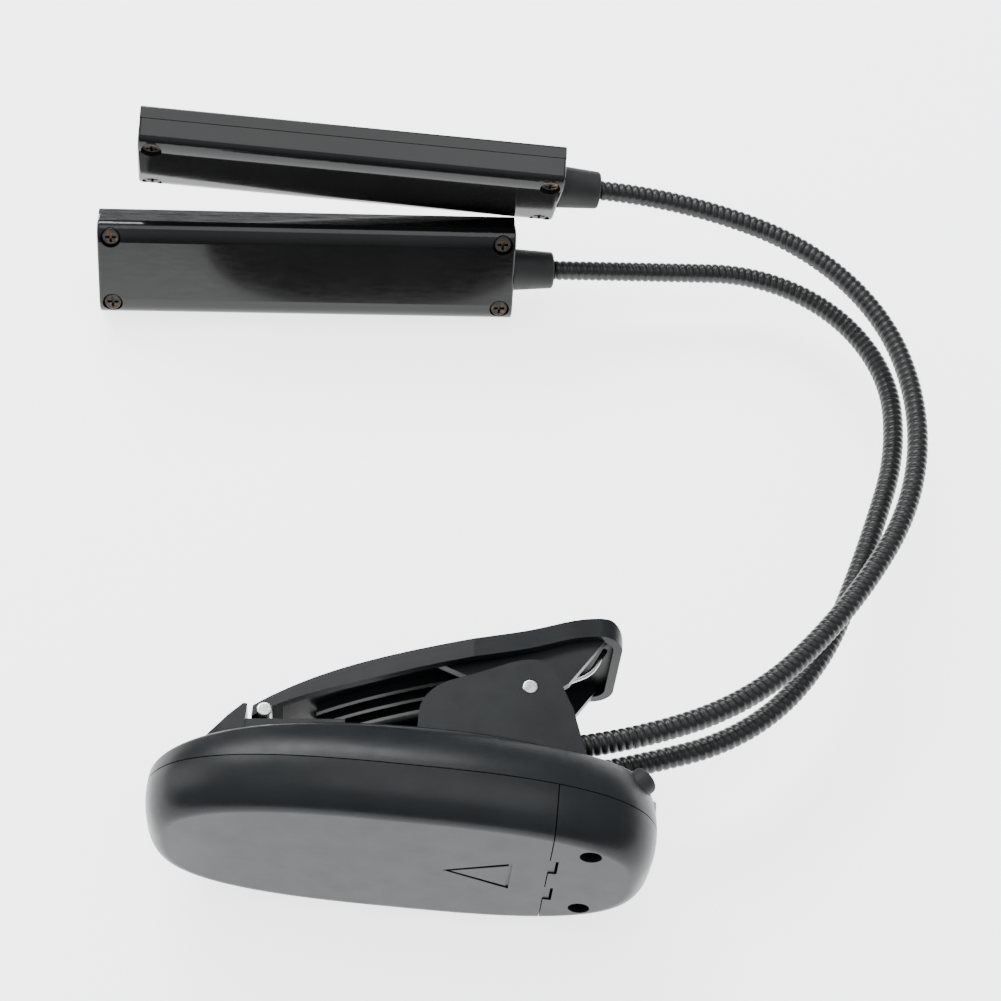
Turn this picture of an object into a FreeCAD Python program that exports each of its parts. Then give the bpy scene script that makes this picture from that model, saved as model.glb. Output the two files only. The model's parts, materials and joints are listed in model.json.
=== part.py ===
import FreeCAD, Part
import math
import os

# Clip-on reading light: two gooseneck arms, two rectangular LED heads and a battery base whose top
# carries a spring clip.  The light lies on its side, as it is put down on a table.
#   +Z  up off the table, across the width of the base and of the clip
#   +X  along the base, from its nose to the end where the arms leave it
#   +Y  away from the underside of the base, towards the clip lever and the heads
# While it is modelled, Y = 0 is the underside of the base, Z = 0 the middle plane of the base and
# X = 0 the middle of the two screw holes.  Everything is moved together before it is written.

V = FreeCAD.Vector
ORIGIN = V(0, 0, 0)
UP = V(0, 0, 1)
ALONG = V(1, 0, 0)
OUT = V(0, 1, 0)

# ---------------------------------------------------------------- driving dimensions (mm, degrees)
# base
BASE_LENGTH = 93.6
BASE_WIDTH = 44.0
BASE_HEIGHT = 18.0
BASE_TAIL_X = 12.6           # rear end of the base
BASE_POWER = 2.8             # exponent of the rounded outline
SEAM_Y = 9.0                 # parting line between the upper shell and the lower pieces
BOTTOM_ROUND = 4.6           # how far the underside draws in from the seam outline
TOP_DRAW_X = 1.8             # how far the top draws in at the ends
TOP_DRAW_Z = 3.3             # how far the top draws in at the sides
NOSE_DROP_X = -38.0          # ahead of this line the top falls away to the nose
NOSE_DROP_RADIUS = 144.0
WALL = 1.6
SEAM_GAP = 0.2
SPLIT_X = -7.0               # where the battery door ends and the fixed rear shell starts
SPLIT_GAP = 0.2
SCREW_SPACING = 21.4
COUNTERBORE_D = 4.0

# battery bay
CELL_D = 10.5
CELL_LENGTH = 44.5
CELL_PITCH = 10.7
CELL_COUNT = 3
CELL_FLOOR_GAP = 0.6         # between a cell and the inside of the door
CELL_REAR_X = -12.8          # rear end of the bay
SPRING_ROOM = 4.5
TRAY_WALL = 0.85
TRAY_GAP = 0.2
RAIL_REACH = 1.0             # how far the tray's rails stand out
RAIL_THICKNESS = 0.9
RAIL_GAP = 0.3

# clip
PLATE_STEP = 2.2             # jaw plate above the rim of the base
PLATE_INSET = 2.4            # jaw plate inside the rim of the base
PLATE_CROWN = 260.0
EAR_OUTER_Z = 15.0
EAR_THICKNESS = 2.1
PIVOT_X = -13.1
PIVOT_Y = 31.2
PIVOT_D = 3.0
PIVOT_GAP = 0.05
JAW_X = -64.2                # front edge of the pad, behind the lower jaw's tooth
TOOTH_HEIGHT = 23.0
TOOTH_HALF_WIDTH = 13.2
PAD_LENGTH = 18.0
PAD_HALF_WIDTH = 13.0
PAD_THICKNESS = 2.4
LEVER_HALF_WIDTH = 13.6
LEVER_SKIRT = 4.0            # height of the lever's side wall
LEVER_TIP_SHARE = 0.55       # part of that height left at the tip
LEVER_TAPER = 19.0           # length over which the wall gets shallower
LEVER_PLATE = 1.8
LEVER_RIM = 1.7
GUSSET_INNER_Z = 9.0
GUSSET_THICKNESS = 1.8
GUSSET_LOBE = 4.3
TIP_BAR_D = 2.9
TIP_BAR_X = -61.0
COIL_RADIUS = 3.0
COIL_WIRE = 1.1
COIL_HALF_WIDTH = 5.6

# buttons and socket on the rear edge
BUTTON_Z = 9.5
BUTTON_D = 5.2
BUTTON_FIT = 0.15
BUTTON_PROUD = 1.0
BUTTON_X = 8.4
BUTTON_Y = 16.2
SOCKET_HALF_WIDTH = 5.0
SOCKET_Y = 13.6

# arms
NECK_D = 4.4
NECK_BORE = 2.0
NECK_PITCH = 1.5
NECK_SPACING = 11.9          # between the two arms where they leave the base
EXIT_X = -4.0
EXIT_Y = 24.3
EXIT_ANGLE = 16.0            # the arms leave the base rising at this angle
NECK_BURIED = 8.0            # length held in the neck holder
NECK_JOINT_GAP = 0.8
NECK_CHAMFER = 0.9
LEAD_D = 1.3
# each arm as eight stiff lengths: turn in degrees over length in mm, from the base to the head
ARM_A_BENDS = [(10.8, 23.0), (24.1, 28.3), (13.4, 35.2), (20.1, 24.5), (22.2, 25.3),
               (33.4, 27.3), (23.4, 20.0), (20.7, 35.7)]
ARM_B_BENDS = [(6.2, 24.3), (31.9, 26.9), (16.3, 20.2), (4.8, 36.1), (17.4, 22.4),
               (35.9, 24.0), (57.6, 35.6), (0.3, 36.1)]
ARM_A_ROLL = 3.8             # lean of arm A's bending plane, about Y
ARM_B_PITCH = -2.15          # lean of arm B's bending plane, about X

# heads
HEAD_LENGTH = 91.6
HEAD_WIDTH = 21.8
HEAD_THICKNESS = 9.2
HEAD_SIDE = 6.4              # straight part of the sides, measured from the light side
HEAD_SHOULDER = 4.1          # how far the back's rounded edge reaches in
HEAD_WALL = 1.3
BEZEL_DEPTH = 3.0
BEZEL_RIM = 1.5
BEZEL_GAP = 0.15
HEAD_SCREW_SPACING = 15.6
HEAD_SCREW_INSET = 2.95
HEAD_SCREW_D = 4.1
HEAD_SCREW_SINK = 0.9
HEAD_A_LEAN = -17.8          # tilt of head A's back about its own length
HEAD_B_LEAN = 21.7
GROMMET_LENGTH = 9.0
GROMMET_D_HEAD = 9.3
GROMMET_D_END = 8.1
GROMMET_GAP = 0.3
SPIGOT_D = 3.3               # the grommet's end, through the housing's wall
LENS_THICKNESS = 1.5
BOARD_THICKNESS = 1.0
LED_COUNT = 10
LED_SIZE = 3.0
LED_HEIGHT = 0.9

# ---------------------------------------------------------------- worked-out places
BASE_NOSE_X = BASE_TAIL_X - BASE_LENGTH
BASE_MID_X = BASE_TAIL_X - BASE_LENGTH / 2
RIM_Y = BASE_HEIGHT
CELL_RADIUS = CELL_D / 2
CELL_Y = WALL + CELL_FLOOR_GAP + CELL_RADIUS
BAY_FRONT_X = CELL_REAR_X - CELL_LENGTH - SPRING_ROOM
TRAY_INNER_Z = CELL_PITCH * (CELL_COUNT - 1) / 2 + CELL_RADIUS + TRAY_GAP
TRAY_OUTER_Z = TRAY_INNER_Z + TRAY_WALL
TRAY_ROOF_Y = CELL_Y + CELL_RADIUS + TRAY_GAP
RAIL_Z = TRAY_OUTER_Z + RAIL_REACH
RAIL_TOP_Y = SEAM_Y - 1.7
EAR_INNER_Z = EAR_OUTER_Z - EAR_THICKNESS
NECK_RADIUS = NECK_D / 2

NODES = {}


# ---------------------------------------------------------------- helpers
def box(x0, x1, y0, y1, z0, z1):
    return Part.makeBox(x1 - x0, y1 - y0, z1 - z0, V(x0, y0, z0))


def rod(start, direction, length, diameter):
    return Part.makeCylinder(diameter / 2, length, start, direction)


def taper(start, direction, length, d_start, d_end):
    return Part.makeCone(d_start / 2, d_end / 2, length, start, direction)


def prism(points, z0, z1):
    """A straight-sided outline in the XY plane, given height along Z."""
    wire = Part.makePolygon([V(x, y, z0) for x, y in points] + [V(*points[0], z0)])
    return Part.Face(wire).extrude(V(0, 0, z1 - z0))


def fuse(pieces):
    whole = pieces[0]
    for piece in pieces[1:]:
        whole = whole.fuse(piece)
    return whole.removeSplitter()


def largest(shape):
    """The main solid of a cut, without slivers."""
    return max(shape.Solids, key=lambda solid: solid.Volume)


def group(pieces):
    return Part.makeCompound(pieces)


def soften(shape, radius, wanted):
    """Round the edges that wanted() picks."""
    edges = [edge for edge in shape.Edges if wanted(edge)]
    return shape.makeFillet(radius, edges)


def ring(draw_x, draw_z, y):
    """The base's rounded outline, drawn in by the given amounts, at height y."""
    half_length = BASE_LENGTH / 2 - draw_x
    half_width = BASE_WIDTH / 2 - draw_z
    points = []
    for step in range(48):
        turn = 2 * math.pi * step / 48
        c, s = math.cos(turn), math.sin(turn)
        x = BASE_MID_X + half_length * math.copysign(abs(c) ** (2 / BASE_POWER), c)
        z = half_width * math.copysign(abs(s) ** (2 / BASE_POWER), s)
        points.append(V(x, y, z))
    curve = Part.BSplineCurve()
    curve.interpolate(Points=points, PeriodicFlag=True)
    return Part.Wire(curve.toShape())


def lower_body(inset, floor):
    """The base below the seam, a quarter-ellipse section, drawn in by inset."""
    rings = []
    depth = SEAM_Y - floor
    for share in (1.0, 0.985, 0.93, 0.82, 0.62, 0.34, 0.0):
        draw = inset + BOTTOM_ROUND * (1 - math.sqrt(1 - share ** 2))
        rings.append(ring(draw, draw, SEAM_Y - depth * share))
    return Part.makeLoft(rings, True, False)


def upper_body(inset, top):
    """The base above the seam, up to height top, drawn in by inset."""
    rings = []
    for share in (0.0, 0.3, 0.6, 0.85, 1.0):
        y = SEAM_Y + (top - SEAM_Y) * share
        draw_x = inset + TOP_DRAW_X * share ** 2
        draw_z = inset + TOP_DRAW_Z * share ** 2
        rings.append(ring(draw_x, draw_z, y))
    return Part.makeLoft(rings, True, False)


def nose_cut(top):
    """What lies above the falling top line ahead of NOSE_DROP_X."""
    front = BASE_NOSE_X - 5
    slab = box(front, NOSE_DROP_X, top - 40, top + 30, -BASE_WIDTH, BASE_WIDTH)
    drum = rod(V(NOSE_DROP_X, top - NOSE_DROP_RADIUS, -BASE_WIDTH), UP, 2 * BASE_WIDTH,
               2 * NOSE_DROP_RADIUS)
    return slab.cut(drum)


# ---------------------------------------------------------------- base
def button_place(side):
    return V(BUTTON_X, BUTTON_Y, side * BUTTON_Z)


BUTTON_AXIS = V(1, 1, 0).normalize()


def make_upper_shell():
    outer = upper_body(0, RIM_Y).cut(nose_cut(RIM_Y))
    outer = soften(outer, 1.2, lambda e: e.BoundBox.YMin > SEAM_Y + 0.5 and e.Length > 20)
    inner = upper_body(WALL, RIM_Y - WALL).cut(nose_cut(RIM_Y - WALL))
    shell = outer.cut(inner)
    shell = shell.cut(box(BASE_NOSE_X - 1, BASE_TAIL_X + 1, SEAM_Y - 1, SEAM_Y + SEAM_GAP / 2,
                          -BASE_WIDTH, BASE_WIDTH))
    for side in (1, -1):
        bore = rod(button_place(side) - BUTTON_AXIS * 6, BUTTON_AXIS, 12, BUTTON_D + 2 * BUTTON_FIT)
        shell = shell.cut(bore)
        post = rod(V(0, SEAM_Y + SEAM_GAP / 2, side * SCREW_SPACING / 2), OUT,
                   RIM_Y - WALL / 2 - SEAM_Y, COUNTERBORE_D + 1.2)
        shell = shell.fuse(post)
        pilot = rod(V(0, SEAM_Y - 1, side * SCREW_SPACING / 2), OUT, 6.2, 1.9)
        shell = shell.cut(pilot)
    opening = box(BASE_TAIL_X - 6, BASE_TAIL_X + 2, SOCKET_Y - 1.9, SOCKET_Y + 1.9,
                  -SOCKET_HALF_WIDTH - 0.1, SOCKET_HALF_WIDTH + 0.1)
    shell = shell.cut(opening)
    hole = neck_hole_in_top()
    return largest(shell.cut(hole).removeSplitter())


def neck_hole_in_top():
    """Where the leads go down through the top into the base."""
    return box(-14.5, -10.5, RIM_Y - WALL - 1, RIM_Y + 8, -7.5, 7.5)


def make_lower_shell():
    outer = lower_body(0, 0)
    inner = lower_body(WALL, WALL)
    shell = outer.cut(inner)
    return shell.cut(box(BASE_NOSE_X - 1, BASE_TAIL_X + 1, SEAM_Y - SEAM_GAP / 2, SEAM_Y + 1,
                         -BASE_WIDTH, BASE_WIDTH))


HOOK_WIDTH = 4.6
HOOK_REACH = 1.1
HOOK_PLACES = (5.1, -5.8)


def hook_blocks(grow):
    """The door's hooks, or with grow their notches in the rear shell."""
    blocks = []
    for z in HOOK_PLACES:
        half = HOOK_WIDTH / 2 + grow
        blocks.append(box(SPLIT_X - 2, SPLIT_X + HOOK_REACH + 2.5 * grow, -1, WALL + grow,
                          z - half, z + half))
    return blocks


def make_rear_shell():
    piece = make_lower_shell().common(box(SPLIT_X + SPLIT_GAP / 2, BASE_TAIL_X + 1, -1, SEAM_Y + 1,
                             -BASE_WIDTH, BASE_WIDTH))
    front = SPLIT_X + SPLIT_GAP / 2
    bulkhead = box(front + 1.6, front + 2.8, WALL / 2, SEAM_Y - SEAM_GAP / 2, -BASE_WIDTH / 2,
                   BASE_WIDTH / 2)
    piece = piece.fuse(bulkhead.common(lower_body(WALL / 2, WALL / 4)))
    for side in (1, -1):
        z = side * SCREW_SPACING / 2
        boss = rod(V(0, WALL / 2, z), OUT, SEAM_Y - SEAM_GAP / 2 - WALL / 2, COUNTERBORE_D + 2)
        piece = piece.fuse(boss)
        piece = piece.cut(rod(V(0, -1, z), OUT, 1 + 5.0, COUNTERBORE_D))
        piece = piece.cut(rod(V(0, 4, z), OUT, 8, 2.5))
    for notch in hook_blocks(0.2):
        piece = piece.cut(notch)
    return largest(piece.removeSplitter())


def make_door():
    piece = make_lower_shell().common(box(BASE_NOSE_X - 1, SPLIT_X - SPLIT_GAP / 2, -1, SEAM_Y + 1,
                             -BASE_WIDTH, BASE_WIDTH))
    hooks = [block.common(box(SPLIT_X - 2, SPLIT_X + 9, 0.25, WALL, -20, 20))
             for block in hook_blocks(0)]
    lips = []
    for side in (1, -1):
        near = RAIL_Z - 0.75
        lip = box(-52, -14, RAIL_TOP_Y + RAIL_GAP, SEAM_Y - SEAM_GAP / 2, near, BASE_WIDTH / 2)
        if side < 0:
            lip = lip.mirror(ORIGIN, UP)
        lips.append(lip.common(lower_body(WALL / 2, WALL / 2)))
    for added in hooks + lips:
        piece = piece.fuse(added)
    return largest(piece.cut(arrow_groove()))


def arrow_groove():
    """The open triangle, sunk in the door's underside, that shows which way the door slides."""
    tip, tail, half = -26.0, -13.6, 5.2
    depth, line = 0.35, 0.55
    outer = [(tip, 0), (tail, half), (tail, -half)]
    inner = [(tip + 2.9 * line, 0), (tail - line, half - 2.0 * line), (tail - line, -half + 2.0 * line)]
    faces = []
    for points in (outer, inner):
        corners = [V(x, -1, z) for x, z in points]
        faces.append(Part.Face(Part.makePolygon(corners + corners[:1])))
    return faces[0].cut(faces[1]).extrude(V(0, 1 + depth, 0))


def cell_places():
    """Rear end and direction of each cell; neighbours lie head to tail."""
    places = []
    for index in range(CELL_COUNT):
        z = (index - (CELL_COUNT - 1) / 2) * CELL_PITCH
        spring_in_front = index % 2 == 0
        front = BAY_FRONT_X + (SPRING_ROOM if spring_in_front else 0)
        places.append((front, z, spring_in_front))
    return places


def make_cell(front, z, spring_in_front):
    nub_d, nub = 3.8, 1.0
    body_start = front if spring_in_front else front + nub
    body = rod(V(body_start, CELL_Y, z), ALONG, CELL_LENGTH - nub, CELL_D)
    body = soften(body, 0.4, lambda e: True if e.Length > 25 and e.BoundBox.XLength < 0.1 else False)
    nub_start = front + CELL_LENGTH - nub if spring_in_front else front
    return fuse([body, rod(V(nub_start, CELL_Y, z), ALONG, nub, nub_d)])


def make_contact_spring(front, z, spring_in_front):
    """A conical battery spring, as the closed cone that it fills."""
    if spring_in_front:
        return taper(V(front, CELL_Y, z), V(-1, 0, 0), SPRING_ROOM - 0.4, 4.2, 8.0)
    back = front + CELL_LENGTH
    return taper(V(back, CELL_Y, z), ALONG, SPRING_ROOM - 0.4, 4.2, 8.0)


def make_contact_plate(end_x, z):
    return box(end_x, end_x + 0.4, CELL_Y - 4.4, CELL_Y + 4.4, z - 4.6, z + 4.6)


def make_tray():
    front, rear = BAY_FRONT_X - 1.4, CELL_REAR_X + 1.4
    roof = box(front + 3.4, rear, TRAY_ROOF_Y, TRAY_ROOF_Y + 1.0, -TRAY_OUTER_Z, TRAY_OUTER_Z)
    pieces = [roof]
    for side in (1, -1):
        z0, z1 = sorted((side * TRAY_INNER_Z, side * TRAY_OUTER_Z))
        pieces.append(box(front, rear, WALL + 3.2, TRAY_ROOF_Y + 1.0, z0, z1).cut(
            box(front - 1, front + 3.4, TRAY_ROOF_Y - 1.2, TRAY_ROOF_Y + 2, z0 - 1, z1 + 1)))
        z0, z1 = sorted((side * TRAY_INNER_Z, side * RAIL_Z))
        pieces.append(box(-54, rear, RAIL_TOP_Y - RAIL_THICKNESS, RAIL_TOP_Y, z0, z1))
    half = TRAY_OUTER_Z - 1.2
    pieces.append(box(front, front + 1.0, WALL + 1.0, TRAY_ROOF_Y - 1.2, -half, half))
    pieces.append(box(rear - 1.0, rear, WALL + 1.0, TRAY_ROOF_Y + 1.0, -half, half))
    pieces.append(box(front + 3.4, front + 4.4, TRAY_ROOF_Y - 2.5, TRAY_ROOF_Y + 0.5,
                      -TRAY_OUTER_Z, TRAY_OUTER_Z))
    tray = fuse(pieces)
    for front_x, z, spring_in_front in cell_places():
        tray = tray.cut(rod(V(BAY_FRONT_X - 0.05, CELL_Y, z), ALONG,
                            CELL_LENGTH + SPRING_ROOM + 0.1, CELL_D + 2 * TRAY_GAP - 0.05))
    post_height = RIM_Y - WALL - TRAY_ROOF_Y - 1.0
    room = upper_body(WALL + 0.12, RIM_Y - WALL).cut(nose_cut(RIM_Y - WALL - 0.05))
    room = room.fuse(box(BASE_NOSE_X, BASE_TAIL_X, 0, SEAM_Y + 0.5, -RAIL_Z, RAIL_Z))
    for x in (-46.0, -22.0):
        tray = tray.fuse(rod(V(x, TRAY_ROOF_Y + 0.9, 0), OUT, post_height + 0.1, 5.0))
    return largest(tray.common(room).removeSplitter())


def make_circuit_board():
    board = box(-2.9, 8.0, SEAM_Y + 0.35, SEAM_Y + 1.55, -7.6, 7.6)
    return board


def make_switch(side):
    centre = button_place(side) - BUTTON_AXIS * 4.6
    body = box(-2.0, 0, -1.7, 1.7, -1.7, 1.7)
    stem = rod(V(0, 0, 0), ALONG, 0.9, 2.4)
    whole = fuse([body, stem])
    whole.Placement = FreeCAD.Placement(centre, FreeCAD.Rotation(ALONG, BUTTON_AXIS))
    return whole


def make_button(side):
    """A domed cap with a flange inside the shell."""
    top = BUTTON_PROUD + 0.9
    cap = rod(V(-3.4, 0, 0), ALONG, 3.4 + top, BUTTON_D)
    cap = soften(cap, 0.8, lambda e: e.BoundBox.XMin > top - 0.01 and e.BoundBox.XLength < 0.01)
    whole = cap
    whole.Placement = FreeCAD.Placement(button_place(side), FreeCAD.Rotation(ALONG, BUTTON_AXIS))
    return whole


def make_power_socket():
    block = box(4.6, BASE_TAIL_X - 0.35, SOCKET_Y - 1.8, SOCKET_Y + 1.8,
                -SOCKET_HALF_WIDTH, SOCKET_HALF_WIDTH)
    block = soften(block, 0.8, lambda e: e.BoundBox.XMin > BASE_TAIL_X - 1 and e.Length > 3)
    port = box(BASE_TAIL_X - 6, BASE_TAIL_X + 1, SOCKET_Y - 0.95, SOCKET_Y + 0.95, -3.6, 3.6)
    foot = box(4.6, 7.6, SEAM_Y + 1.55, SOCKET_Y - 1.7, -SOCKET_HALF_WIDTH, SOCKET_HALF_WIDTH)
    return fuse([block.cut(port), foot])


def make_shell_screw(side):
    z = side * SCREW_SPACING / 2
    head = rod(V(0, 3.4, z), OUT, 1.6, 3.6)
    recess = fuse([box(-1.1, 1.1, 3, 4.3, z - 0.25, z + 0.25), box(-0.25, 0.25, 3, 4.3, z - 1.1, z + 1.1)])
    shank = rod(V(0, 4.9, z), OUT, 9.0, 1.9)
    return fuse([head.cut(recess), shank])


# ---------------------------------------------------------------- clip
def crown(top, radius):
    """Everything under a crowned surface whose highest line is at y = top."""
    return rod(V(BASE_MID_X + 6, top - radius, -BASE_WIDTH), UP, 2 * BASE_WIDTH, 2 * radius)


def plate_top(x):
    return RIM_Y + PLATE_STEP - (x - BASE_MID_X - 6) ** 2 / (2 * PLATE_CROWN)


def ear_outline():
    foot = RIM_Y - 0.4
    return [(-33.0, foot), (-33.0, 23.4), (-31.9, 27.4), (-29.4, 30.0), (-25.1, 32.1), (-19.9, 34.5),
            (-15.7, 36.4), (-13.3, 37.0), (-11.1, 36.8), (-9.3, 35.4), (-6.9, 31.5), (-5.0, 27.7),
            (-1.9, foot)]


def ear_face(z):
    points = [V(x, y, z) for x, y in ear_outline()]
    top = Part.BSplineCurve()
    top.interpolate(points[1:-1])
    edges = [Part.LineSegment(points[0], points[1]).toShape(), top.toShape(),
             Part.LineSegment(points[-2], points[-1]).toShape(),
             Part.LineSegment(points[-1], points[0]).toShape()]
    return Part.Face(Part.Wire(edges))


def make_jaw_plate():
    inset_x, inset_z = TOP_DRAW_X + PLATE_INSET, TOP_DRAW_Z + PLATE_INSET
    rings = [ring(inset_x, inset_z, RIM_Y - 9), ring(inset_x, inset_z, RIM_Y + 9)]
    slab = Part.makeLoft(rings, True, True)
    slab = slab.common(crown(RIM_Y + PLATE_STEP, PLATE_CROWN))
    slab = soften(slab, 0.7, lambda e: e.Length > 150 and e.BoundBox.YMin > RIM_Y - 8)
    below = upper_body(-1, RIM_Y).cut(nose_cut(RIM_Y))
    slab = slab.cut(below)
    ears = []
    for side in (1, -1):
        z0 = EAR_INNER_Z if side > 0 else -EAR_OUTER_Z
        plate = ear_face(z0).extrude(V(0, 0, EAR_THICKNESS))
        ears.append(plate)
    tooth = make_tooth()
    body = fuse([slab] + ears + [tooth])
    body = body.cut(below)
    body = body.cut(rod(V(PIVOT_X, PIVOT_Y, -30), UP, 60, PIVOT_D + 2 * PIVOT_GAP))
    body = body.cut(neck_hole_in_top())
    for side in (1, -1):
        near = BUTTON_Z - BUTTON_D / 2 - 0.8
        z0, z1 = sorted((side * near, side * BASE_WIDTH / 2))
        body = body.cut(box(BUTTON_X - 3.4, BASE_TAIL_X, RIM_Y - 4, RIM_Y + 9, z0, z1))
    return largest(body.cut(pad_space()).removeSplitter())


def pad_space():
    """The pad lies on the plate along a straight line from the tooth backwards."""
    y0 = plate_top(JAW_X) - 0.5
    y1 = plate_top(JAW_X + PAD_LENGTH) - 0.5
    outline = [(JAW_X, y0), (JAW_X + PAD_LENGTH, y1), (JAW_X + PAD_LENGTH, y1 + PAD_THICKNESS + 0.5),
               (JAW_X, y0 + PAD_THICKNESS + 0.5)]
    return prism(outline, -PAD_HALF_WIDTH, PAD_HALF_WIDTH)


def make_pad():
    pad = pad_space()
    pad = soften(pad, 0.4, lambda e: e.BoundBox.YMax > plate_top(JAW_X) + 1.2 and e.Length > 5)
    return pad


def make_tooth():
    """The lower jaw's tooth: a hollow-faced ramp that stops square at the pad."""
    start_x, start_y = BASE_NOSE_X + 7.6, 11.5
    ramp = Part.Arc(V(start_x, start_y + 2.6, 0), V(-69.6, 17.9, 0), V(JAW_X - 0.8, TOOTH_HEIGHT, 0))
    edges = [ramp.toShape(),
             Part.LineSegment(V(JAW_X - 0.8, TOOTH_HEIGHT, 0), V(JAW_X, TOOTH_HEIGHT, 0)).toShape(),
             Part.LineSegment(V(JAW_X, TOOTH_HEIGHT, 0), V(JAW_X, start_y, 0)).toShape(),
             Part.LineSegment(V(JAW_X, start_y, 0), V(start_x, start_y, 0)).toShape(),
             Part.LineSegment(V(start_x, start_y, 0), V(start_x, start_y + 2.6, 0)).toShape()]
    wedge = Part.Face(Part.Wire(edges)).extrude(V(0, 0, 2 * TOOTH_HALF_WIDTH))
    wedge.translate(V(0, 0, -TOOTH_HALF_WIDTH))
    rings = [ring(TOP_DRAW_X + 2.0, TOP_DRAW_Z + 2.0, 5), ring(TOP_DRAW_X + 2.0, TOP_DRAW_Z + 2.0, 30)]
    return wedge.common(Part.makeLoft(rings, True, True))


LEVER_TOP = [(-63.2, 22.9), (-55.0, 28.6), (-44.0, 34.1), (-33.0, 38.3), (-22.0, 41.9), (-12.0, 45.2),
             (-5.0, 48.0), (0.6, 49.1)]


def lever_curve(drop, z, tip_share=1.0):
    points = []
    for x, y in LEVER_TOP:
        share = tip_share + (1 - tip_share) * min(1.0, (x - LEVER_TOP[0][0]) / LEVER_TAPER)
        points.append(V(x, y - drop * share, z))
    curve = Part.BSplineCurve()
    curve.interpolate(points)
    return curve.toShape(), points[0], points[-1]


LEVER_END_X = 4.3


def lever_side(top_drop, bottom_drop, shrink, tip_share=1.0):
    """The lever's side view between two copies of its top line, given width along Z."""
    z0 = -LEVER_HALF_WIDTH + shrink
    top, top_start, top_end = lever_curve(top_drop, z0)
    low, low_start, low_end = lever_curve(bottom_drop, z0, tip_share)
    nose = Part.LineSegment(low_start, top_start).toShape()
    if shrink == 0:
        mid = V(LEVER_END_X - 0.7, top_end.y - 1.1, z0)
        end = V(LEVER_END_X, top_end.y - 3.4, z0)
        tail = [Part.Arc(top_end, mid, end).toShape(),
                Part.LineSegment(end, V(LEVER_END_X, low_end.y, z0)).toShape(),
                Part.LineSegment(V(LEVER_END_X, low_end.y, z0), low_end).toShape()]
    else:
        corner = LEVER_END_X - shrink
        tail = [Part.LineSegment(top_end, V(corner, top_end.y, z0)).toShape(),
                Part.LineSegment(V(corner, top_end.y, z0), V(corner, low_end.y, z0)).toShape(),
                Part.LineSegment(V(corner, low_end.y, z0), low_end).toShape()]
    wire = Part.Wire(Part.__sortEdges__([nose, top, low] + tail))
    return Part.Face(wire).extrude(V(0, 0, 2 * (LEVER_HALF_WIDTH - shrink)))


def lever_plan(shrink):
    """The lever seen from above: a little narrower at the tip, rounded at the finger end."""
    half, tip_half, round_r = LEVER_HALF_WIDTH - shrink, LEVER_HALF_WIDTH - 0.8 - shrink, 5.0
    x0, x1 = LEVER_TOP[0][0] - 1, LEVER_END_X - shrink
    mid_x = -24.0
    outline = [(x0, -tip_half), (mid_x, -half), (x1, -half + 1.4), (x1, half - 1.4), (mid_x, half),
               (x0, tip_half)]
    wire = Part.makePolygon([V(x, 0, z) for x, z in outline] + [V(outline[0][0], 0, outline[0][1])])
    block = Part.Face(wire).extrude(V(0, 70, 0))
    return soften(block, round_r - shrink, lambda e: e.BoundBox.YLength > 60
                  and e.BoundBox.XMin > x1 - 0.1)


def lever_gusset(side):
    """A web inside the lever that comes down to the pivot pin."""
    z0 = GUSSET_INNER_Z if side > 0 else -GUSSET_INNER_Z - GUSSET_THICKNESS
    outline = [(-32.0, 37.4), (-18.0, PIVOT_Y + 1.0), (PIVOT_X - 1, PIVOT_Y), (PIVOT_X + 4, PIVOT_Y + 1.2),
               (-5.7, 35.2), (0.9, 45.6), (1.6, 48.1), (-3.0, 47.6), (-14.0, 43.5), (-26.0, 39.7)]
    web = prism(outline, z0, z0 + GUSSET_THICKNESS)
    lobe = rod(V(PIVOT_X, PIVOT_Y, z0), UP, GUSSET_THICKNESS, 2 * GUSSET_LOBE)
    return fuse([web, lobe])


def make_lever():
    shell = lever_side(0, LEVER_SKIRT, 0, LEVER_TIP_SHARE).common(lever_plan(0))
    hollow = lever_side(LEVER_PLATE, LEVER_SKIRT + 6, LEVER_RIM).common(lever_plan(LEVER_RIM))
    hollow = hollow.cut(box(-70, TIP_BAR_X + 3.2, 0, 60, -30, 30))
    shell = shell.cut(hollow)
    pieces = [shell, lever_gusset(1), lever_gusset(-1)]
    for z in (-4.6, 0.0, 4.6):
        pieces.append(make_lever_rib(z))
    body = fuse(pieces)
    body = body.cut(rod(V(TIP_BAR_X, tip_bar_y(), -30), UP, 60, TIP_BAR_D + 0.02))
    body = body.cut(rod(V(PIVOT_X, PIVOT_Y, -30), UP, 60, PIVOT_D + 2 * PIVOT_GAP))
    return largest(body)


def make_lever_rib(z):
    rib = lever_side(LEVER_PLATE - 0.3, LEVER_SKIRT - 0.6, LEVER_RIM)
    return rib.common(box(-52, -20, 0, 60, z - 0.6, z + 0.6))


def tip_bar_y():
    (x0, y0), (x1, y1) = LEVER_TOP[:2]
    return y0 + (TIP_BAR_X - x0) * (y1 - y0) / (x1 - x0) - TIP_BAR_D / 2 - 0.75


def make_tip_bar():
    half = LEVER_HALF_WIDTH - 0.3
    bar = rod(V(TIP_BAR_X, tip_bar_y(), -half), UP, 2 * half, TIP_BAR_D)
    return soften(bar, 0.4, lambda e: e.BoundBox.ZLength < 0.01)


def make_pivot_pin():
    half = EAR_OUTER_Z + 0.25
    pin = rod(V(PIVOT_X, PIVOT_Y, -half), UP, 2 * half, PIVOT_D)
    return soften(pin, 0.4, lambda e: e.BoundBox.ZLength < 0.01)


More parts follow.
